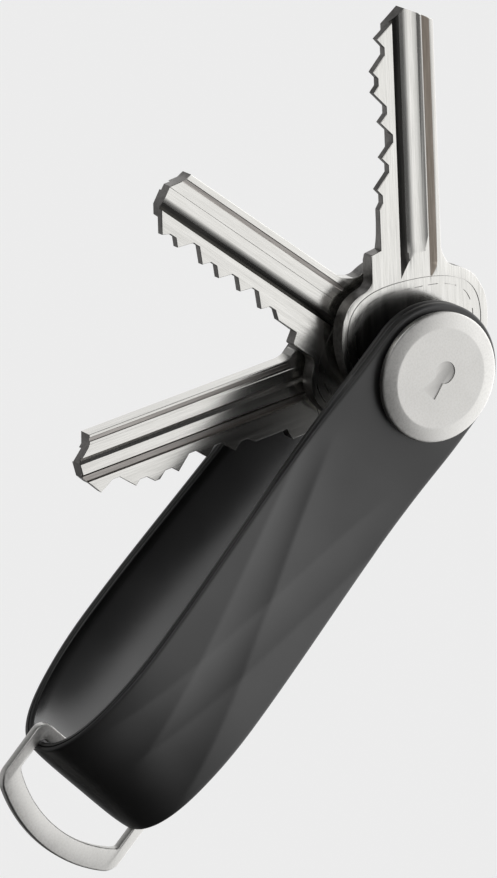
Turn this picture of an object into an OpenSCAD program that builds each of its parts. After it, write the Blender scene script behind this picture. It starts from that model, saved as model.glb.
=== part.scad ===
// Key organiser: a soft band folded round a D-ring and closed by a coin screw.
// Keys are threaded on the post between the band's two ends, and swing out sideways.
// The origin is on the post's axis, at the outer face of the coin screw's head.
// +X runs from the post to the D-ring, and +Z from the coin screw to the front button.

/* [Band] */
// Width of the band
band_w = 18.4; // [17:0.1:18.6]
// Post's axis to the outside of the fold
band_len = 67.3; // [66:0.1:80]
// Thickness of the band
band_t = 1.6; // [1.2:0.1:1.8]
// Thickness of the band's two ends, round the post
band_end_t = 2.2; // [1.8:0.1:2.4]
// Gap between the two ends, which holds the keys
bay = 12.8; // [12.8:0.1:14]
// Half of the band's outer height at its narrowest, next to the post
waist_h = 8.1; // [7.8:0.1:8.6]
// Half of the band's outer height at its widest
belly_h = 9.6; // [9:0.1:10]

/* [D-ring] */
// Thickness of the ring's plate
ring_t = 1.3; // [1:0.1:1.5]
// Width of the bar that lies in the fold
bar_w = 1.8; // [1.4:0.1:1.9]
// Play between the ring's arms and the band's edges
ring_play = 0.3; // [0.2:0.05:0.4]
// Width of the ring's arms
arm_w = 1.5; // [1.2:0.1:2]
// How far the ring reaches past the fold
ring_reach = 8.4; // [8:0.1:12]

/* [Post and buttons] */
// Radius of the buttons' rims
button_r = 8.35; // [8:0.05:8.5]
// Radius of the flat top of a button
button_flat_r = 6.4; // [6:0.1:6.6]
// Height of a button over the band
button_h = 1.5; // [1.4:0.1:1.8]
// Radius of the post
post_r = 2.4; // [2.3:0.05:2.5]
// Radius of the coin screw's thread
thread_r = 1.75; // [1.5:0.05:1.8]

/* [Keys] */
// Thickness of a key
key_t = 2.1; // [1.8:0.1:2.2]
// Height of a key's blade
blade_h = 8.8; // [8:0.1:9]
// Radius of a key's round bow
bow_r = 10.8; // [10:0.1:11]
// Distance between the middle planes of two keys
key_step = 3.2; // [3:0.1:3.2]
// Direction of the front key's blade
front_angle = -133.7; // [-180:0.1:180]
// Direction of the middle key's blade
middle_angle = -83; // [-180:0.1:180]
// Direction of the rear key's blade
rear_angle = -35.7; // [-180:0.1:180]

/* [Hidden] */
$fn = 96;
eps = 0.01;
fit = 0.05;

// Heights along the post, from the coin screw's outer face
band_z0 = button_h;
bay_z0 = band_z0 + band_end_t;
bay_z1 = bay_z0 + bay;
band_z1 = bay_z1 + band_end_t;
mid_z = (bay_z0 + bay_z1) / 2;
rim_z = 0.85;
head_t = 1.2;
foot_r = 7.7;
nylon_r = 5.2;
steel_r = 5;
key_washer_r = 4.6;
key_z = [mid_z - key_step, mid_z, mid_z + key_step];

// The band's side view: level at the post, then waist, belly and fold
post_h = bay / 2 + band_end_t;
level_x = 4;
waist_x = 14;
belly_x = band_len - 19.3;
fold_handle = [12.5, 6];

function ease(u) = u * u * (3 - 2 * u);
function band_h(x) =
    x < level_x ? post_h :
    x < waist_x ? post_h + (waist_h - post_h) * ease((x - level_x) / (waist_x - level_x)) :
    waist_h + (belly_h - waist_h) * ease((x - waist_x) / (belly_x - waist_x));
function thickness(x) =
    x < level_x ? band_end_t :
    x < waist_x ? band_end_t + (band_t - band_end_t) * ease((x - level_x) / (waist_x - level_x)) :
    band_t;
function bezier(p, t) =
    pow(1 - t, 3) * p[0] + 3 * t * pow(1 - t, 2) * p[1] + 3 * t * t * (1 - t) * p[2] + pow(t, 3) * p[3];
function reversed(list) = [for (i = [len(list) - 1:-1:0]) list[i]];
function arc(centre, r, from, to, steps) =
    [for (i = [0:steps]) let (a = from + (to - from) * i / steps) centre + r * [cos(a), sin(a)]];
function unit(v) = v / norm(v);
function normal_at(path, i) =
    let (d = unit(path[min(i + 1, len(path) - 1)] - path[max(i - 1, 0)])) [-d[1], d[0]];
function inset_path(path) =
    [for (i = [0:len(path) - 1]) path[i] - thickness(path[i][0]) * normal_at(path, i)];

// Upper half of the outer line, from the post's end to the tip of the fold
fold_curve = [[belly_x, belly_h], [belly_x + fold_handle[0], belly_h], [band_len, fold_handle[1]], [band_len, 0]];
upper_line = concat(
    [[-band_w, post_h]],
    [for (x = [level_x:2:waist_x]) [x, band_h(x)]],
    [for (i = [1:11]) let (x = waist_x + (belly_x - waist_x) * i / 12) [x, band_h(x)]],
    [for (i = [0:16]) bezier(fold_curve, i / 16)]);
lower_line = [for (p = reversed(upper_line)) if (p[1] > eps) [p[0], -p[1]]];
outer_line = concat(upper_line, lower_line);

module strap() {
    color([0.16, 0.16, 0.16])
    difference() {
        intersection() {
            translate([0, 0, mid_z])
            rotate([90, 0, 0])
            linear_extrude(band_w, center = true)
            polygon(concat(outer_line, reversed(inset_path(outer_line))));
            linear_extrude(2 * mid_z) {
                circle(r = band_w / 2);
                translate([0, -band_w / 2]) square([band_len + 1, band_w]);
            }
        }
        cylinder(r = post_r + fit, h = 2 * mid_z);
    }
}

// The D-ring's outline: straight arms, with an arc across the end
ring_x = band_len - band_t - bar_w / 2 - 0.4;
ring_in = band_w / 2 + ring_play;
ring_out = ring_in + arm_w;
ring_end = band_len + ring_reach;

// half_w is to the arms, end_x is the end's middle, and end_r, near_r and far_r are radii
module d_shape(start_x, half_w, end_x, end_r, near_r, far_r) {
    end_c = end_x - end_r;
    far_y = half_w - far_r;
    far_x = end_c + sqrt(pow(end_r - far_r, 2) - pow(far_y, 2));
    far_angle = atan2(far_y, far_x - end_c);
    near = [start_x + near_r, half_w - near_r];
    polygon(concat(
        arc(near, near_r, 180, 90, 6),
        arc([far_x, far_y], far_r, 90, far_angle, 6),
        arc([end_c, 0], end_r, far_angle, -far_angle, 24),
        arc([far_x, -far_y], far_r, -far_angle, -90, 6),
        arc([near[0], -near[1]], near_r, -90, -180, 6)));
}

module d_ring() {
    color([0.78, 0.78, 0.77])
    translate([0, 0, mid_z])
    linear_extrude(ring_t, center = true)
    difference() {
        d_shape(ring_x - bar_w / 2, ring_out, ring_end, 21, 1.6, 2.6);
        d_shape(ring_x + bar_w / 2, ring_in, ring_end - 2.95, 17.5, 0.6, 0.8);
    }
}

// A button's head, outer face at z = 0: flat top, round shoulder, short upright rim
module button_head(foot_h) {
    run = button_r - button_flat_r;
    shoulder_r = (run * run + rim_z * rim_z) / (2 * rim_z);
    shoulder_a = asin(run / shoulder_r);
    rotate_extrude()
    polygon(concat(
        [[0, 0]],
        arc([button_flat_r, shoulder_r], shoulder_r, -90, -90 + shoulder_a, 10),
        [[button_r, head_t]],
        foot_h > 0 ? [[foot_r, head_t], [foot_r, head_t + foot_h]] : [],
        [[0, head_t + foot_h]]));
}

spigot_r = 2;
spigot_h = 0.8;
sleeve_z0 = band_z0 + 0.2;

module front_button() {
    color([0.8, 0.8, 0.78])
    difference() {
        translate([0, 0, band_z1 + button_h])
        mirror([0, 0, 1]) button_head(button_h - head_t);
        translate([0, 0, band_z1 - eps]) cylinder(r = spigot_r, h = spigot_h + eps);
        translate([0, 0, band_z1 + button_h - 0.15]) linear_extrude(1) keyhole_mark();
    }
}

// Generic keyhole, its slot towards the D-ring
module keyhole_mark() {
    translate([-0.9, 0]) circle(r = 1.45);
    polygon([[-0.9, -0.6], [2.6, -1.2], [2.6, 1.2], [-0.9, 0.6]]);
}

thread_z1 = 10;

module post_sleeve() {
    color([0.72, 0.72, 0.7])
    difference() {
        union() {
            translate([0, 0, sleeve_z0]) cylinder(r = post_r, h = band_z1 - sleeve_z0);
            translate([0, 0, band_z1 - eps]) cylinder(r = spigot_r, h = spigot_h + eps);
        }
        translate([0, 0, sleeve_z0 - eps]) cylinder(r = thread_r + fit, h = thread_z1 + 1 - sleeve_z0);
    }
}

pellet_r = 0.6;
pellet_z = 7.5;

module coin_screw() {
    color([0.8, 0.8, 0.78])
    difference() {
        union() {
            button_head(0);
            translate([0, 0, head_t - eps]) cylinder(r = thread_r, h = thread_z1 - head_t);
        }
        coin_slot();
        pellet_hole();
    }
}

module coin_slot() {
    slot_l = 10;
    slot_w = 1.6;
    translate([0, 0, -eps]) linear_extrude(0.7) {
        square([slot_l - slot_w, slot_w], center = true);
        for (side = [-1, 1]) translate([side * (slot_l - slot_w) / 2, 0]) circle(d = slot_w);
    }
}

module pellet_hole() {
    translate([0.5, 0, pellet_z]) rotate([0, 90, 0]) cylinder(r = pellet_r, h = thread_r);
}

module lock_pellet() {
    color([0.2, 0.35, 0.7])
    intersection() {
        pellet_hole();
        cylinder(r = thread_r, h = thread_z1);
    }
}

// Flat ring round the post
module washer(outer_r, z0, z1) {
    translate([0, 0, z0])
    difference() {
        cylinder(r = outer_r, h = z1 - z0);
        translate([0, 0, -1]) cylinder(r = post_r + fit, h = z1 - z0 + 2);
    }
}

module screw_washer() {
    color([0.12, 0.12, 0.12])
    difference() {
        translate([0, 0, head_t]) cylinder(r = foot_r, h = band_z0 - head_t);
        cylinder(r = thread_r + fit, h = band_z0 + 1);
    }
}

rear_washer_t = 0.8;

module rear_washer() {
    color([0.12, 0.12, 0.12]) washer(nylon_r, bay_z0, bay_z0 + rear_washer_t);
}

module spacer_washer() {
    color([0.7, 0.7, 0.7]) washer(steel_r, bay_z0 + rear_washer_t, key_z[0] - key_t / 2 - fit);
}

module key_washer(below) {
    color([0.7, 0.7, 0.7])
    washer(key_washer_r, key_z[below] + key_t / 2 + fit, key_z[below + 1] - key_t / 2 - fit);
}

flat_z0 = key_z[2] + key_t / 2 + fit;
wave_z0 = flat_z0 + 0.6;
wave_z1 = bay_z1 - 0.5;

module flat_washer() {
    color([0.7, 0.7, 0.7]) washer(steel_r, flat_z0, wave_z0);
}

module front_washer() {
    color([0.12, 0.12, 0.12]) washer(nylon_r, wave_z1, bay_z1);
}

// Spring washer: a flat ring bent into three waves, one quad strip for each side
module wave_washer() {
    steps = 72;
    sheet = 0.3;
    radii = [post_r + 0.2, 4.8];
    rise = wave_z1 - wave_z0 - sheet - 2 * fit;
    function level(a) = wave_z0 + fit + rise * (1 + cos(3 * a)) / 2;
    points = [for (i = [0:steps - 1]) let (a = 360 * i / steps)
        for (corner = [[0, 0], [1, 0], [1, 1], [0, 1]])
            [radii[corner[0]] * cos(a), radii[corner[0]] * sin(a), level(a) + sheet * corner[1]]];
    faces = [for (i = [0:steps - 1]) for (k = [0:3])
        let (a = 4 * i, b = 4 * ((i + 1) % steps), n = (k + 1) % 4)
        each [[a + k, b + n, b + k], [a + k, a + n, b + n]]];
    color([0.72, 0.72, 0.7]) polyhedron(points, faces);
}

// A key lies along +X from its hole, its cuts towards +Y and its middle plane at z = 0
shoulder_x = 15.8;
half_h = blade_h / 2;
shoulder_h = 5.95;
flank = 0.9;
cut_flat = 0.5;

module cut(x, root) {
    top = half_h + 1 - root;
    translate([x, root])
    polygon([[-cut_flat, 0], [cut_flat, 0], [cut_flat + top / flank, top], [-cut_flat - top / flank, top]]);
}

module key_outline(tip_x, first_cut, pitch, roots) {
    translate([5.1, -0.1]) circle(r = bow_r);
    polygon([[8, -10.4], [10.5, -9.2], [11.7, -7.4], [12.4, -5.5], [14.4, -half_h], [14.7, half_h],
        [shoulder_x, half_h + 0.2], [shoulder_x - 0.2, shoulder_h], [11.6, shoulder_h], [10.7, 8], [9.5, 9.4],
        [8, 10]]);
    difference() {
        polygon([[10, -half_h], [tip_x - 2.2, -half_h], [tip_x - 0.8, -2], [tip_x, -0.3],
            [tip_x - 1.1, 1.2], [tip_x - 3.8, half_h], [10, half_h]]);
        for (i = [0:len(roots) - 1]) cut(first_cut + i * pitch, roots[i]);
    }
}

// A milled groove from y0 to y1, running out at start_x with the cutter's radius
module groove(y0, y1, depth, start_x) {
    cutter_r = 12;
    translate([0, y0, key_t / 2 - depth]) {
        translate([start_x, 0, 0]) cube([40, y1 - y0, depth + 1]);
        intersection() {
            translate([start_x, 0, cutter_r]) rotate([-90, 0, 0]) cylinder(r = cutter_r, h = y1 - y0);
            translate([start_x - 8, 0, 0]) cube([8 + eps, y1 - y0, depth]);
        }
    }
}

module key(turn, z, tip_x, first_cut, pitch, roots) {
    color([0.75, 0.74, 0.7])
    translate([0, 0, z])
    rotate(turn)
    difference() {
        linear_extrude(key_t, center = true)
        difference() {
            key_outline(tip_x, first_cut, pitch, roots);
            circle(r = post_r + 1.5 * fit);
        }
        groove(-0.5, 1.6, 0.7, 16.5);
        groove(-3.7, -2.7, 0.3, 15);
        mirror([0, 0, 1]) groove(2, half_h + 1, 1, 19.5);
        mirror([0, 0, 1]) groove(-2.4, -0.9, 0.6, 16);
    }
}

module key_front() {
    key(front_angle, key_z[2], 46.2, 22.5, 3.75, [3.95, 2.9, 2.15, 2.9, 3.95, 2.9]);
}

module key_middle() {
    key(middle_angle, key_z[1], 43.1, 20.95, 3.62, [3.6, 2.9, 2.9, 3.2, 2.4, 3.15]);
}

module key_rear() {
    key(rear_angle, key_z[0], 45.4, 22.3, 3.7, [3.7, 3, 2.8, 3.8, 3.7, 2.4]);
}

strap();
d_ring();
front_button();
post_sleeve();
coin_screw();
lock_pellet();
screw_washer();
rear_washer();
spacer_washer();
key_washer(0);  // key_washer_rear
key_washer(1);  // key_washer_front
flat_washer();
wave_washer();
front_washer();
key_front();
key_middle();
key_rear();
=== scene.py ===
"""Looks of the key organiser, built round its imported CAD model."""

import math

import bmesh
import bpy
from mathutils import Matrix, Vector


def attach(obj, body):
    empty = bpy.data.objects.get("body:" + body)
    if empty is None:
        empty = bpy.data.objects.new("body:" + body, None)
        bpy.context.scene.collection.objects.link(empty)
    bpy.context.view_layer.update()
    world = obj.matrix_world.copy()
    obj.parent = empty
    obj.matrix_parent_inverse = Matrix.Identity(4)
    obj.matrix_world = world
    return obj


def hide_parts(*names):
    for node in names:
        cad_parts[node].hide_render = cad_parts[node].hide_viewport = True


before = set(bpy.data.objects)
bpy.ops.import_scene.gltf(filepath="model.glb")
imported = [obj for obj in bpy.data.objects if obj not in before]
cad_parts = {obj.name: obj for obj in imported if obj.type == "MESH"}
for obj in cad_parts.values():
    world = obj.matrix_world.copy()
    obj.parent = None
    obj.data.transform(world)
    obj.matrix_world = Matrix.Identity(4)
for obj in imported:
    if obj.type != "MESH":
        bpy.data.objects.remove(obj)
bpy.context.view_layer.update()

MM = 0.001
MID = 10.1  # height of the band's mid-plane over the coin screw's face, in mm
STREAK_RATIO = 26  # how many times longer than wide the streaks of brushed metal are


# ---------------------------------------------------------------- node helpers
class Nodes:
    """A material's node tree, with short calls for the nodes used here."""

    def __init__(self, name):
        self.material = bpy.data.materials.new(name)
        self.material.use_nodes = True
        self.tree = self.material.node_tree
        self.tree.nodes.clear()
        self.shader = self.add("ShaderNodeBsdfPrincipled")
        out = self.add("ShaderNodeOutputMaterial")
        self.link(self.shader, "BSDF", out, "Surface")
        self.coords = self.add("ShaderNodeTexCoord")

    def add(self, kind, **settings):
        node = self.tree.nodes.new(kind)
        for key, value in settings.items():
            setattr(node, key, value)
        return node

    def link(self, a, out, b, into):
        self.tree.links.new(a.outputs[out], b.inputs[into])

    def mapping(self, scale=(1, 1, 1)):
        node = self.add("ShaderNodeMapping")
        node.inputs["Scale"].default_value = scale
        self.link(self.coords, "Object", node, "Vector")
        return node

    def noise(self, vector, scale, detail=3.0, roughness=0.5):
        node = self.add("ShaderNodeTexNoise")
        node.inputs["Scale"].default_value = scale
        node.inputs["Detail"].default_value = detail
        node.inputs["Roughness"].default_value = roughness
        self.link(vector, 0, node, "Vector")
        return node

    def ramp(self, source, out, stops):
        node = self.add("ShaderNodeValToRGB")
        band = node.color_ramp.elements
        while len(band) < len(stops):
            band.new(0.5)
        for element, (place, colour) in zip(band, stops):
            element.position = place
            element.color = (*colour, 1) if isinstance(colour, tuple) else (colour, colour, colour, 1)
        self.link(source, out, node, "Fac")
        return node

    def bump(self, source, out, distance, strength=1.0, under=None):
        node = self.add("ShaderNodeBump")
        node.inputs["Distance"].default_value = distance
        node.inputs["Strength"].default_value = strength
        self.link(source, out, node, "Height")
        if under:
            self.link(under, "Normal", node, "Normal")
        return node

    def set(self, **values):
        for key, value in values.items():
            self.shader.inputs[key.replace("_", " ")].default_value = value


def rubber(name="rubber", low_rough=0.41, high_rough=0.46, level=0.95):
    m = Nodes(name)
    grain = m.noise(m.mapping(), 9000, 2)
    cloud = m.noise(m.mapping(), 160, 3)
    colour = m.ramp(cloud, "Fac", [(0.3, (0.0075, 0.0075, 0.0076)), (0.7, (0.0095, 0.0093, 0.0094))])
    rough = m.ramp(cloud, "Fac", [(0.3, low_rough), (0.7, high_rough)])
    m.link(colour, "Color", m.shader, "Base Color")
    m.link(rough, "Color", m.shader, "Roughness")
    m.link(m.bump(grain, "Fac", 0.00001, 0.5), "Normal", m.shader, "Normal")
    m.set(Specular_IOR_Level=level, IOR=1.56)
    return m.material


def satin_metal(name, low, high, rough_low, rough_high, grain_scale=7000, grain_depth=0.000006, pit=0.93):
    """Bead-blasted or satin metal with an even fine grain, darker in its pits."""
    m = Nodes(name)
    grain = m.noise(m.mapping(), grain_scale, 2)
    cloud = m.noise(m.mapping(), 220, 3)
    pits = m.add("ShaderNodeMixRGB", blend_type="MULTIPLY")
    pits.inputs["Fac"].default_value = 1
    m.link(m.ramp(cloud, "Fac", [(0.3, low), (0.7, high)]), "Color", pits, "Color1")
    m.link(m.ramp(grain, "Fac", [(0.35, pit), (0.6, 1.0)]), "Color", pits, "Color2")
    m.link(pits, "Color", m.shader, "Base Color")
    m.link(m.ramp(grain, "Fac", [(0.3, rough_low), (0.7, rough_high)]), "Color", m.shader, "Roughness")
    m.link(m.bump(grain, "Fac", grain_depth, 0.6), "Normal", m.shader, "Normal")
    m.set(Metallic=1.0)
    return m.material


def brushed_metal(name, direction, low, high, rough_low, rough_high, depth=0.0000025):
    """Metal with fine streaks along a direction in the XY plane, given in degrees."""
    m = Nodes(name)
    turned = m.add("ShaderNodeVectorRotate", rotation_type="Z_AXIS")
    turned.inputs["Angle"].default_value = math.radians(-direction)
    m.link(m.coords, "Object", turned, "Vector")
    along = m.mapping((1, STREAK_RATIO, STREAK_RATIO))
    m.link(turned, "Vector", along, "Vector")
    streaks = m.noise(along, 190, 4, 0.7)
    marks = m.noise(along, 60, 2, 0.5)
    m.link(m.ramp(streaks, "Fac", [(0.3, low), (0.72, high)]), "Color", m.shader, "Base Color")
    m.link(m.ramp(marks, "Fac", [(0.3, rough_low), (0.7, rough_high)]), "Color", m.shader, "Roughness")
    m.link(m.bump(streaks, "Fac", depth, 0.7), "Normal", m.shader, "Normal")
    m.set(Metallic=1.0)
    return m.material


def plastic(name, low, high, rough):
    m = Nodes(name)
    cloud = m.noise(m.mapping(), 900, 3)
    grain = m.noise(m.mapping(), 6000, 2)
    m.link(m.ramp(cloud, "Fac", [(0.3, low), (0.7, high)]), "Color", m.shader, "Base Color")
    m.link(m.ramp(grain, "Fac", [(0.3, rough - 0.05), (0.7, rough + 0.05)]), "Color", m.shader, "Roughness")
    m.link(m.bump(grain, "Fac", 0.000005, 0.5), "Normal", m.shader, "Normal")
    return m.material


# ---------------------------------------------------------------- mesh helpers
def piece_from(name, verts_mm, faces, materials, smooth_angle=35):
    mesh = bpy.data.meshes.new(name)
    mesh.from_pydata([(x * MM, y * MM, z * MM) for x, y, z in verts_mm], [], faces)
    obj = bpy.data.objects.new(name, mesh)
    bpy.context.scene.collection.objects.link(obj)
    tidy_mesh(obj, materials, smooth_angle)
    return obj


def tidy_mesh(obj, materials, smooth_angle=35):
    bm = bmesh.new()
    bm.from_mesh(obj.data)
    bmesh.ops.remove_doubles(bm, verts=bm.verts, dist=1e-6)
    bmesh.ops.dissolve_degenerate(bm, edges=bm.edges, dist=1e-7)
    bmesh.ops.recalc_face_normals(bm, faces=bm.faces)
    bm.to_mesh(obj.data)
    bm.free()
    if materials and not obj.data.materials:
        for material in materials:
            obj.data.materials.append(material)
    obj.data.shade_smooth()
    obj.data.set_sharp_from_angle(angle=math.radians(smooth_angle))


def apply_modifiers(obj):
    bpy.context.view_layer.update()
    graph = bpy.context.evaluated_depsgraph_get()
    mesh = bpy.data.meshes.new_from_object(obj.evaluated_get(graph), depsgraph=graph)
    obj.modifiers.clear()
    obj.data = mesh


def even_shading(obj):
    """Weights the shading by face area, so flat faces stay flat up to their rounded edges."""
    mod = obj.modifiers.new("shade", "WEIGHTED_NORMAL")
    mod.mode = "FACE_AREA"
    mod.weight = 100
    mod.keep_sharp = True
    apply_modifiers(obj)


def cut(obj, cutters):
    """Takes the cutters out of obj. Cut faces keep the cutter's material."""
    for cutter in cutters:
        mod = obj.modifiers.new("cut", "BOOLEAN")
        mod.operation = "DIFFERENCE"
        mod.solver = "EXACT"
        mod.object = cutter
        mod.material_mode = "TRANSFER"
    apply_modifiers(obj)
    for cutter in cutters:
        bpy.data.objects.remove(cutter)


def plate(name, outlines, z0, z1, edge, material, resolution=2):
    """A flat plate from closed outlines in mm, holes included, with rounded edges."""
    curve = bpy.data.curves.new(name, "CURVE")
    curve.dimensions = "2D"
    curve.fill_mode = "BOTH"
    curve.extrude = ((z1 - z0) / 2 - edge) * MM
    curve.bevel_depth = edge * MM
    curve.bevel_resolution = resolution
    curve.offset = -edge * MM
    for outline in outlines:
        spline = curve.splines.new("POLY")
        spline.points.add(len(outline) - 1)
        for point, (x, y) in zip(spline.points, outline):
            point.co = (x * MM, y * MM, 0, 1)
        spline.use_cyclic_u = True
    shape = bpy.data.objects.new(name + "_shape", curve)
    bpy.context.scene.collection.objects.link(shape)
    bpy.context.view_layer.update()
    graph = bpy.context.evaluated_depsgraph_get()
    mesh = bpy.data.meshes.new_from_object(shape.evaluated_get(graph), depsgraph=graph)
    bpy.data.objects.remove(shape)
    mesh.transform(Matrix.Translation((0, 0, (z0 + z1) / 2 * MM)))
    mesh.materials.clear()
    obj = bpy.data.objects.new(name, mesh)
    bpy.context.scene.collection.objects.link(obj)
    tidy_mesh(obj, [material])
    return obj


def arc(centre, r, start, end, steps):
    return [(centre[0] + r * math.cos(math.radians(start + (end - start) * i / steps)),
             centre[1] + r * math.sin(math.radians(start + (end - start) * i / steps)))
            for i in range(steps + 1)]


def rounded(points, radii, steps=4):
    """A closed outline with each corner rounded by its radius."""
    out = []
    count = len(points)
    for i, corner in enumerate(points):
        r = radii[i] if isinstance(radii, (list, tuple)) else radii
        p, a, b = Vector(corner), Vector(points[i - 1]), Vector(points[(i + 1) % count])
        to_a, to_b = (a - p), (b - p)
        half = to_a.angle(to_b) / 2
        if r <= 0 or half > math.radians(88):
            out.append(corner)
            continue
        reach = min(r / math.tan(half), to_a.length * 0.48, to_b.length * 0.48)
        start, end = p + to_a.normalized() * reach, p + to_b.normalized() * reach
        for k in range(steps + 1):
            t = k / steps
            out.append(tuple((1 - t) ** 2 * start + 2 * t * (1 - t) * p + t * t * end))
    return out


def spun(name, profile, material, steps=128, smooth_angle=35):
    """A solid of revolution about the post's axis from (radius, z) points."""
    verts, faces = [], []
    for k in range(steps):
        a = 2 * math.pi * k / steps
        verts += [(r * math.cos(a), r * math.sin(a), z) for r, z in profile]
    n = len(profile)
    for k in range(steps):
        for i in range(n - 1):
            a, b = k * n, ((k + 1) % steps) * n
            faces.append((a + i, b + i, b + i + 1, a + i + 1))
    return piece_from(name, verts, faces, [material], smooth_angle)


# ---------------------------------------------------------------- the band
HALF_W = 9.2
FOLD_X = 67.3
POST_TOP = 8.6  # the outer face over the mid-plane, round the post
END_T = 2.2  # thickness of the ends, round the post
FLAT_X = 4  # where the level end stops
WAIST_X = 14
BELLY_X = 48
BELLY_TOP = 9.6


def ease(u):
    return u * u * (3 - 2 * u)


def band_top(x):
    waist = POST_TOP - 0.5
    if x < FLAT_X:
        return POST_TOP
    if x < WAIST_X:
        return POST_TOP - 0.5 * ease((x - FLAT_X) / (WAIST_X - FLAT_X))
    return waist + (BELLY_TOP - waist) * ease(min(1, (x - WAIST_X) / (BELLY_X - WAIST_X)))


def band_thickness(x):
    if x < FLAT_X:
        return END_T
    return END_T - 0.6 * ease(min(1, (x - FLAT_X) / (WAIST_X - FLAT_X)))


def crease_depth(x, y):
    """Depth of the moulded facets in mm: two fans of lines, scalloped between."""
    lean_a = -6.1 + 0.307 * (x - 15)
    lean_b = -8.3 + 0.2 * (x - 22)
    rising = (y - lean_b) / max(3.5, lean_a - lean_b)
    fall_a = 3.95 - 0.289 * (x - 21.35)
    fall_b = 8.1 - 0.26 * (x - 25.3)
    falling = (y - fall_a) / (fall_b - fall_a)
    total = 0
    for t, depth in ((rising, 0.20), (falling, 0.16)):
        # A flute between the two lines, and a half flute that runs out on each side of them.
        if 0 <= t <= 1:
            total += depth * 4 * t * (1 - t)
        else:
            v = min(1, (-t if t < 0 else t - 1) / 1.3)
            total += depth * 1.6 * v * (1 - v / 2)
    fade = ease(min(1, max(0, (x - 12) / 12))) * ease(min(1, max(0, (FOLD_X - 3 - x) / 8)))
    return total * fade


def edge_taper(x, tau):
    """How much the outer face falls away towards the band's sides round the fold."""
    return 0.24 * ease(min(1, max(0, (x - 50) / 14))) * abs(tau) ** 5


def band_stations():
    """(x, z, normal x, normal z, thickness) down the band's outer line, post to fold."""
    def fold(t):
        p = ((BELLY_X, BELLY_TOP), (60.5, BELLY_TOP), (FOLD_X, 6), (FOLD_X, 0))
        w = ((1 - t) ** 3, 3 * t * (1 - t) ** 2, 3 * t * t * (1 - t), t ** 3)
        return [sum(w[k] * p[k][i] for k in range(4)) for i in (0, 1)]
    line = [(x * 0.35, band_top(x * 0.35)) for x in range(0, 137)]
    line += [fold(i / 76) for i in range(1, 77)]
    out = []
    for i, (x, z) in enumerate(line):
        a, b = line[max(0, i - 1)], line[min(len(line) - 1, i + 1)]
        tx, tz = b[0] - a[0], b[1] - a[1]
        if i == len(line) - 1:
            tx, tz = 0, -1
        length = math.hypot(tx, tz)
        out.append((x, z, -tz / length, tx / length, band_thickness(x)))
    return out


def band_loop(x, z, nx, nz, t, half_w, end_angle):
    """The band's closed cross-section at one station. end_angle is set on the round end."""
    edge, columns = 0.3, 52
    loop = []

    def put(side, inset, depth):
        if end_angle is None:
            loop.append((x - nx * depth, side * (half_w - inset), z - nz * depth))
        else:
            r = HALF_W - inset
            loop.append((r * math.cos(end_angle), side * r * math.sin(end_angle), z - nz * depth))

    def across(depth, inset, direction, count, creased):
        for k in range(count + 1):
            tau = direction * (2 * k / count - 1)
            if end_angle is None:
                px, y = x, tau * (half_w - inset)
            else:
                px, y = (HALF_W - inset) * math.cos(end_angle), tau * (HALF_W - inset) * math.sin(end_angle)
            d = depth + (crease_depth(x, y) + edge_taper(x, tau) if creased else 0)
            loop.append((px - nx * d, y, z - nz * d))

    corner = [(edge * (1 - math.sin(a)), edge * (1 - math.cos(a))) for a in
              (math.radians(v) for v in (30, 60, 90))]
    across(0, edge, 1, columns, True)
    falls = [edge_taper(x, 1) + crease_depth(x, side * (half_w - edge)) if end_angle is None else 0
             for side in (1, -1)]
    middles = [[(fall + (t - fall) * f, inset) for f, inset in ((0.42, 0), (0.5, 0.2), (0.58, 0))]
               for fall in falls]
    for inset, depth in corner:
        put(1, inset, falls[0] + depth)
    for depth, inset in middles[0]:
        put(1, inset, depth)
    for inset, depth in reversed(corner):
        put(1, inset, t - depth)
    across(t, edge, -1, 12, False)
    for inset, depth in corner:
        put(-1, inset, t - depth)
    for depth, inset in reversed(middles[1]):
        put(-1, inset, depth)
    for inset, depth in reversed(corner):
        put(-1, inset, falls[1] + depth)
    return loop


def make_band(material, lining):
    loops = []
    for k in range(31):
        a = math.pi - (math.pi / 2) * (k / 30) ** 0.8
        loops.append(band_loop(0, POST_TOP, 0, 1, END_T, HALF_W, a))
    stations = band_stations()
    loops += [band_loop(*s, HALF_W, None) for s in stations[1:]]
    upper = [[(x, y, MID + z) for x, y, z in loop] for loop in loops]
    lower = [[(x, y, MID - z) for x, y, z in loop] for loop in reversed(loops[:-1])]
    rings = upper + lower
    n = len(rings[0])
    verts = [p for ring in rings for p in ring]
    faces = [(i * n + k, i * n + (k + 1) % n, (i + 1) * n + (k + 1) % n, (i + 1) * n + k)
             for i in range(len(rings) - 1) for k in range(n)]
    band = piece_from("band", verts, faces, [material], 50)
    hole = spun("hole", [(0, -1), (2.45, -1), (2.45, 21), (0, 21)], material, 64)
    cut(band, [hole])
    tidy_mesh(band, [material], 50)
    band.data.materials.append(lining)
    for face in band.data.polygons:
        x, y, z = face.center
        to_middle = Vector((min(x, BELLY_X * MM) - x, 0, MID * MM - z))
        if abs(face.normal.y) < 0.3 and face.normal.dot(to_middle) > 0.0008 and abs(to_middle.z) < 0.0084:
            face.material_index = len(band.data.materials) - 1
    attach(band, "organiser")
    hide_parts("strap")


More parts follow.
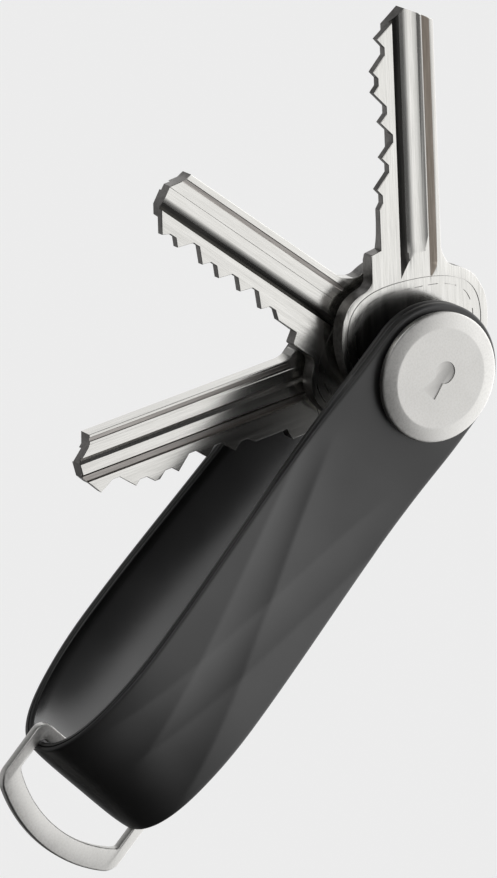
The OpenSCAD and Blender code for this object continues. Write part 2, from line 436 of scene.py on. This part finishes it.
# ---------------------------------------------------------------- the D-ring
def make_ring(material):
    def d_shape(start_x, half_w, end_x, end_r, near_r, far_r):
        end_c = end_x - end_r
        far_y = half_w - far_r
        far_x = end_c + math.sqrt((end_r - far_r) ** 2 - far_y ** 2)
        far_a = math.degrees(math.atan2(far_y, far_x - end_c))
        nx, ny = start_x + near_r, half_w - near_r
        return (arc((nx, ny), near_r, 180, 90, 8) + arc((far_x, far_y), far_r, 90, far_a, 10)
                + arc((end_c, 0), end_r, far_a, -far_a, 48)
                + arc((far_x, -far_y), far_r, -far_a, -90, 10) + arc((nx, -ny), near_r, -90, -180, 8))
    ring = plate("ring", [d_shape(63.5, 11, 75.7, 21, 1.6, 2.6), d_shape(65.3, 9.5, 72.75, 17.5, 0.6, 0.8)],
                 MID - 0.65, MID + 0.65, 0.22, material)
    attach(ring, "ring")
    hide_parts("d_ring")


# ---------------------------------------------------------------- the buttons
def head_profile(foot_r, foot_z):
    """(radius, distance from the outer face) of a button's head, centre to centre."""
    flat_r, rim_r, rim_end = 6.3, 8.35, 1.2
    dome, r, z = [], flat_r, 0.0
    for k in range(13):
        dome.append((r, z))
        angle = math.radians(min(9.5, 3.5 * k) + 0.75 * max(0, k - 2))
        step = 0.06 if k < 3 else (rim_r - 0.1 - flat_r - 0.18) / 9
        r, z = r + step, z + step * math.tan(angle)
    shoulder = dome[-1][1] + 0.06
    profile = [(0, 0)] + [(flat_r * k / 6, 0) for k in range(1, 6)] + dome
    profile += [(rim_r - 0.03, shoulder), (rim_r, shoulder + 0.08), (rim_r, rim_end - 0.1), (rim_r - 0.1, rim_end)]
    profile += [(foot_r, rim_end), (foot_r, foot_z), (0, foot_z)] if foot_z > rim_end else [(0, rim_end)]
    return profile


def make_front_button(material, mark_material):
    top = 20.2
    profile = [(r, top - d) for r, d in head_profile(7.7, 1.5)]
    profile[-1:] = [(2.0, 18.7), (2.0, 19.5), (0, 19.5)]
    button = spun("front_cap", profile, material)
    mark = arc((-0.9, 0), 1.45, 30, 330, 28) + [(2.6, -1.2), (2.6, 1.2)]
    mark = rounded(mark, [0.12 if i in (0, 28) else 0.25 if i > 28 else 0 for i in range(31)])
    cut(button, [plate("mark", [mark], top - 0.14, top + 0.5, 0.02, mark_material)])
    tidy_mesh(button, [material])
    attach(button, "organiser")
    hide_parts("front_button")


def make_coin_screw(material, slot_material):
    profile = head_profile(0, 0)[:-1]
    profile += [(1.75, 1.2), (1.75, 9.8), (1.6, 10), (0, 10)]
    # A fine helix would not show in the sleeve: shallow thread rings stand for it.
    shank = []
    for k in range(14):
        z = 2.4 + 0.52 * k
        shank += [(1.75, z), (1.6, z + 0.26)]
    profile[-3:-2] = shank + [(1.75, 9.8)]
    screw = spun("screw", profile, material, 96)
    slot = arc((4.2, 0), 0.8, -90, 90, 12) + arc((-4.2, 0), 0.8, 90, 270, 12)
    pellet = plate("pellet_seat", [arc((0, 0), 0.6, 0, 345, 23)], 0.5, 2.6, 0.01, material)
    pellet.data.transform(Matrix.Rotation(math.radians(90), 4, "Y"))
    pellet.data.transform(Matrix.Translation((0, 0, 7.5 * MM)))
    cut(screw, [plate("coin", [slot], -0.5, 0.7, 0.02, slot_material), pellet])
    tidy_mesh(screw, [material])
    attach(screw, "screw")
    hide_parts("coin_screw")


# ---------------------------------------------------------------- the keys
KEY_T = 2.1
SHOULDER = 15.8
BLADE_TOP = 4.45
BOW_X = 5.1  # the bow's centre, from the key's hole
DASHES = 18


def cuts(first_x, pitch, roots):
    """Outline of the cuts from the shoulder to the tip: flat-bottomed, flanks near 50 degrees."""
    flank, flat, top = 0.95, 0.5, BLADE_TOP
    points = []
    for i, root in enumerate(roots):
        x = first_x + i * pitch
        reach = flat + (top + 0.25 - root) / flank
        left = max(x - reach, points[-1][0] + 0.01) if points else x - reach
        if points and x - reach < points[-1][0]:
            # Neighbouring cuts meet in a peak between them.
            last_x, last_root = first_x + (i - 1) * pitch + flat, roots[i - 1]
            peak_x = (last_x + x - flat + (root - last_root) / flank) / 2
            peak_y = last_root + (peak_x - last_x) * flank
            points[-1] = (peak_x, min(peak_y, top + 0.25))
        else:
            points.append((left, top + 0.2 if i else top))
        points += [(x - flat, root), (x + flat, root), (x + reach, top + 0.2)]
    return points


def key_outline(tip, first_x, pitch, roots):
    spine = rounded([(tip[-1][0] - 0.3, -4.35), (14.4, -4.35), (12.4, -5.45), (11.75, -7.4), (10.55, -9.2),
                     (8.26, -10.45)], [0, 3, 2, 7, 7, 0], 6)
    bow = arc((BOW_X, -0.12), 10.8, -73, -285, 80)
    neck = rounded([(7.9, 10.31), (9.6, 9.45), (10.75, 7.95), (11.5, 5.9), (15.6, 5.95),
                    (SHOULDER + 0.25, BLADE_TOP)],
                   [0, 6, 6, 1.6, 0.3, 0], 5)
    blade = cuts(first_x, pitch, roots)
    return spine[:-1] + bow + neck[1:] + blade[:-1] + tip


def bow_line(inset, start=0, end=360, steps=120):
    """The engraved line inside the bow: a circle that flattens towards the neck."""
    out = []
    for k in range(steps + 1):
        a = math.radians(start + (end - start) * k / steps)
        r = (9.9 ** -4 + (max(0, math.cos(a)) / 6.84) ** 4) ** -0.25 - inset
        out.append((BOW_X + r * math.cos(a), r * math.sin(a)))
    return out[:-1] if end - start == 360 else out


def edge_faces(key, material):
    """Gives the milled walls round a key's outline their own finish, and level groove floors the key's. Sloped faces
    keep the darker groove metal, which is painted shade and painted dark reflection.
    """
    key.data.materials.append(material)
    names = [m.name for m in key.data.materials]
    for face in key.data.polygons:
        if abs(face.normal.z) < 0.3 and face.normal.y > -0.8:
            face.material_index = len(names) - 1
        elif face.normal.z > 0.955 and names[face.material_index].startswith("groove"):
            face.material_index = 0


def groove(name, section, start_x, end_x, top_z, up, material):
    """A milled groove. section is (y, depth) across it; it runs out at start_x with the cutter's radius."""
    cutter_r = 12.0
    verts, faces = [], []
    deepest = max(d for _, d in section)
    runs = [(start_x - math.sqrt(max(0, 2 * cutter_r * lift - lift * lift)), lift)
            for lift in (deepest + 0.4, deepest, 0.75 * deepest, 0.5 * deepest, 0.25 * deepest, 0.1 * deepest, 0)]
    runs.append((end_x, 0))
    for x, lift in runs:
        ring = [(section[0][0], -1.5)] + [(y, d - lift) for y, d in section] + [(section[-1][0], -1.5)]
        verts += [(x, y, top_z - up * max(d, -1.5)) for y, d in ring]
    n = len(section) + 2
    for i in range(len(runs) - 1):
        faces += [(i * n + k, i * n + (k + 1) % n, (i + 1) * n + (k + 1) % n, (i + 1) * n + k) for k in range(n)]
    faces += [tuple(range(n)), tuple(range((len(runs) - 1) * n, len(runs) * n))]
    return piece_from(name, verts, faces, [material])


def make_key(name, node, body, turn, z, tip, first_x, pitch, roots, grooves, materials):
    # The second material is a darker metal put in grooves and engraved lines as painted shade and painted dark
    # reflection.
    metal, painted_shade, brown, milled = materials
    hole = arc((0, 0), 2.475, 0, 352.5, 47)
    key = plate(name, [key_outline(tip, first_x, pitch, roots), hole], -KEY_T / 2, KEY_T / 2, 0.09, metal)
    cutters = []
    for k, (section, start_x, side, kind) in enumerate(grooves):
        cutters.append(groove(f"{name}_groove{k}", section, start_x, 60, side * KEY_T / 2, side,
                              {"painted_shade": painted_shade, "brown": brown, "metal": metal}[kind]))
    for side in (1, -1):
        outlines = [bow_line(0), bow_line(0.12)]
        for k in range(DASHES):
            a, b = 5 + 360 / DASHES * k, 17 + 360 / DASHES * k
            outlines.append(bow_line(1.15, a, b, 6) + bow_line(1.26, b, a, 6))
        cutters.append(plate(f"{name}_line{side}", outlines, side * KEY_T / 2 - 0.12, side * KEY_T / 2 + 0.12,
                             0.004, painted_shade, 0))
    cut(key, cutters)
    tidy_mesh(key, [metal], 22)
    edge_faces(key, milled)
    even_shading(key)
    key.data.transform(Matrix.Rotation(math.radians(turn), 4, "Z"))
    key.data.transform(Matrix.Translation((0, 0, z * MM)))
    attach(key, body)
    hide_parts(node)


def slope(y0, y1, depth0, depth1, steps=7, power=1.55):
    """Section of a groove floor that curves down from level at y0 to its steepest at y1."""
    return [(y0 + (y1 - y0) * k / steps, depth0 + (depth1 - depth0) * (k / steps) ** power) for k in range(steps + 1)]


def make_keys():
    grey = ((0.34, 0.318, 0.3), (0.52, 0.495, 0.47))

    def metals(turn, wall_painted_shade=1.0, strip=((0.34, 0.29, 0.245), (0.54, 0.475, 0.41))):
        return (brushed_metal(f"nickel_{turn:.0f}", turn, (0.68, 0.67, 0.64), (0.83, 0.82, 0.79), 0.17, 0.26),
                # The groove metal is darker than the face as painted shade and painted dark reflection. It is not a
                # finish of the key.
                brushed_metal(f"groove_{turn:.0f}", turn, (0.15, 0.147, 0.14), (0.27, 0.265, 0.25), 0.22, 0.34),
                brushed_metal(f"warm_{turn:.0f}", turn, *strip, 0.28, 0.42),
                # A wall factor under 1 darkens a key's milled walls as painted shade, for the keys lying under the
                # front key.
                satin_metal(f"milled_{turn:.0f}", tuple(wall_painted_shade * c for c in (0.24, 0.232, 0.225)),
                            tuple(wall_painted_shade * c for c in (0.50, 0.485, 0.47)), 0.34, 0.5, 2200, 0.00004, 0.7))
    relief = ([(2.05, 1.08), (6.5, 1.08)], 19.5, -1, "metal")
    back = ([(-2.4, 0.55), (-0.9, 0.45)], 16, -1, "painted_shade")
    make_key("key_a", "key_front", "front_key", -133.7, 13.3,
             [(42.9, 3.9), (45.0, 1.2), (46.2, -0.3), (45.4, -2.0), (44.5, -3.7)],
             22.5, 3.75, [3.95, 2.9, 2.15, 2.9, 3.95, 2.9],
             [([(-2.4, 0), (-1.95, 0.13), (-1.1, 0.14)] + slope(-0.75, 1.66, 0.14, 0.95, 16, 2.2), 16.5, 1, "painted_shade"),
              ([(-3.72, 0.0), (-2.62, 0.16)], 13.2, 1, "brown"), relief, back], metals(-133.7))
    # The middle and rear keys get milled walls darkened by 0.8 and 0.85 below, as painted shade.
    make_key("key_b", "key_middle", "middle_key", -83.0, 10.1,
             [(40.5, 3.8), (42.7, 1.0), (43.1, -1.7), (41.7, -3.4)],
             20.95, 3.62, [3.62, 2.9, 2.92, 3.18, 2.42, 3.15],
             [([(-1.6, 0.0), (-1.56, 0.06)] + slope(-0.3, 1.33, 0.06, 0.62, 12),
               14.5, 1, "painted_shade"),
              ([(-3.6, 0.0), (-3.5, 0.05), (-3.1, 0.07), (-3.0, 0.0)], 14.5, 1, "brown"),
              relief, back], metals(-83.0, 0.8, grey))
    make_key("key_c", "key_rear", "rear_key", -35.7, 6.9,
             [(43.2, 3.5), (45.2, 1.0), (45.4, -1.1), (43.7, -2.8)],
             22.3, 3.7, [3.7, 3.0, 2.8, 3.8, 3.7, 2.4],
             [([(0.45, 0.0), (0.5, 0.55), (0.62, 0.55), (0.74, 0.25), (1.45, 0.25), (1.6, 0.0)], 15.5, 1, "brown"),
              ([(-3.1, 0.0), (-3.0, 0.06), (-1.68, 0.08), (-1.64, 0.62), (-0.92, 0.0)], 14.5, 1, "metal"),
              ([(-4.0, 0.0), (-3.9, 0.06), (-3.5, 0.07), (-3.4, 0.0)], 15.5, 1, "brown"),
              relief, back], metals(-35.7, 0.85, grey))


# ---------------------------------------------------------------- materials of the CAD nodes
def dress(node, material):
    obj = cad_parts[node]
    obj.data.materials.clear()
    obj.data.materials.append(material)


def main():
    black_rubber = rubber()
    ring_metal = satin_metal("ring_metal", (0.79, 0.78, 0.755), (0.86, 0.85, 0.825), 0.34, 0.5, 3200, 0.000012, 0.86)
    cap_metal = satin_metal("cap_metal", (0.765, 0.755, 0.73), (0.815, 0.805, 0.78), 0.34, 0.44, 3800, 0.00001, 0.9)
    mark_metal = satin_metal("mark_metal", (0.64, 0.63, 0.61), (0.70, 0.69, 0.67), 0.4, 0.5)
    sleeve_metal = satin_metal("sleeve_metal", (0.60, 0.59, 0.57), (0.70, 0.69, 0.67), 0.22, 0.34, 3000)
    washer_metal = satin_metal("washer_metal", (0.58, 0.58, 0.57), (0.70, 0.70, 0.69), 0.2, 0.32, 3000)
    make_band(black_rubber, rubber("rubber_lining", 0.17, 0.22, 0.95))
    make_ring(ring_metal)
    make_front_button(cap_metal, mark_metal)
    make_coin_screw(cap_metal, mark_metal)
    make_keys()
    nylon = plastic("nylon_black", (0.014, 0.014, 0.015), (0.022, 0.022, 0.023), 0.45)
    for node in ("screw_washer", "rear_washer", "front_washer"):
        dress(node, nylon)
    for node in ("spacer_washer", "key_washer_rear", "key_washer_front", "flat_washer", "wave_washer"):
        dress(node, washer_metal)
    dress("post_sleeve", sleeve_metal)
    dress("lock_pellet", plastic("nylon_blue", (0.05, 0.10, 0.32), (0.08, 0.15, 0.42), 0.4))


# ---------------------------------------------------------------- camera, floor and light
FLOOR_HALF, FLOOR_Z = 9.2, -2.3
BACKDROP_R = 3.2
BASE_LIGHT = 0.008
# (direction, degrees of full light, degrees of no light, strength). The fourth and fifth come from below.
LIGHTS = (((-0.58, 0.76, 0.27), 38, 64, 1.14),
          ((0, 0, 1), 20, 100, 0.03),
          ((0, 0, 1), 4, 15, 0.45),
          ((-0.62, 0.47, -0.63), 28, 72, 0.95),
          ((0.39, -0.38, -0.82), 8, 46, 0.42),
          ((-0.14, -0.79, 0.52), 6, 32, 1.0))
VIEW_BACK = Vector((0.14191, -0.55029, 0.82282))
VIEW_UP = Vector((-0.79546, -0.55813, -0.23608))


def camera():
    data = bpy.data.cameras.new("camera")
    data.lens = 294.95
    data.sensor_width = 36
    data.sensor_fit = "AUTO"
    data.clip_end = 20
    obj = bpy.data.objects.new("camera", data)
    bpy.context.scene.collection.objects.link(obj)
    back = VIEW_BACK.normalized()
    right = VIEW_UP.cross(back).normalized()
    up = back.cross(right)
    turn = Matrix((right, up, back)).transposed()
    obj.matrix_world = Matrix.Translation((0.1471, -0.5031, 0.7459)) @ turn.to_4x4()
    bpy.context.scene.camera = obj


def lobe(tree, source, direction, near, far, strength):
    """Light that fades in from far degrees away from a direction to near degrees."""
    dot = tree.nodes.new("ShaderNodeVectorMath")
    dot.operation = "DOT_PRODUCT"
    dot.inputs[1].default_value = Vector(direction).normalized()
    tree.links.new(source.outputs["Generated"], dot.inputs[0])
    fade = tree.nodes.new("ShaderNodeMapRange")
    fade.interpolation_type = "SMOOTHSTEP"
    fade.inputs["From Min"].default_value = math.cos(math.radians(far))
    fade.inputs["From Max"].default_value = math.cos(math.radians(near))
    fade.inputs["To Max"].default_value = strength
    tree.links.new(dot.outputs["Value"], fade.inputs["Value"])
    return fade.outputs["Result"]


def surroundings():
    floor = Nodes("floor")
    cloud = floor.noise(floor.mapping(), 3, 2)
    floor.link(floor.ramp(cloud, "Fac", [(0, (0.20, 0.20, 0.20)), (1, (0.205, 0.205, 0.205))]), "Color",
               floor.shader, "Base Color")
    floor.set(Roughness=0.9, Emission_Color=(1, 1, 1, 1), Emission_Strength=0.75)
    mesh = bpy.data.meshes.new("floor")
    s, level = FLOOR_HALF, FLOOR_Z
    mesh.from_pydata([(-s, -s, level), (s, -s, level), (s, s, level), (-s, s, level)], [], [(0, 1, 2, 3)])
    mesh.materials.append(floor.material)
    obj = bpy.data.objects.new("floor", mesh)
    bpy.context.scene.collection.objects.link(obj)
    obj.visible_glossy = False
    obj.visible_diffuse = False
    # A pale backdrop all round. Neither it nor the floor lights the object, but the floor still casts shadow.
    backdrop = Nodes("backdrop")
    wash = backdrop.noise(backdrop.mapping(), 2, 2)
    backdrop.link(backdrop.ramp(wash, "Fac", [(0, (0.02, 0.02, 0.02)), (1, (0.03, 0.03, 0.03))]), "Color",
                  backdrop.shader, "Base Color")
    backdrop.set(Roughness=0.95, Specular_IOR_Level=0, Emission_Color=(1, 1, 1, 1), Emission_Strength=0.82)
    shell = bmesh.new()
    bmesh.ops.create_icosphere(shell, subdivisions=4, radius=BACKDROP_R)
    mesh = bpy.data.meshes.new("backdrop")
    shell.to_mesh(mesh)
    shell.free()
    mesh.materials.append(backdrop.material)
    mesh.shade_smooth()
    obj = bpy.data.objects.new("backdrop", mesh)
    bpy.context.scene.collection.objects.link(obj)
    obj.visible_glossy = False
    obj.visible_diffuse = False
    obj.visible_shadow = False
    world = bpy.data.worlds.new("studio")
    world.use_nodes = True
    tree = world.node_tree
    coords = tree.nodes.new("ShaderNodeTexCoord")
    total = None
    for settings in LIGHTS:
        light = lobe(tree, coords, *settings)
        if total is None:
            total = light
            continue
        add = tree.nodes.new("ShaderNodeMath")
        tree.links.new(total, add.inputs[0])
        tree.links.new(light, add.inputs[1])
        total = add.outputs[0]
    base = tree.nodes.new("ShaderNodeMath")
    base.inputs[1].default_value = BASE_LIGHT
    tree.links.new(total, base.inputs[0])
    tree.links.new(base.outputs[0], tree.nodes["Background"].inputs["Strength"])
    tree.nodes["Background"].inputs["Color"].default_value = (1, 1, 1, 1)
    bpy.context.scene.world = world
    bpy.context.scene.view_settings.view_transform = "Standard"


main()
camera()
surroundings()
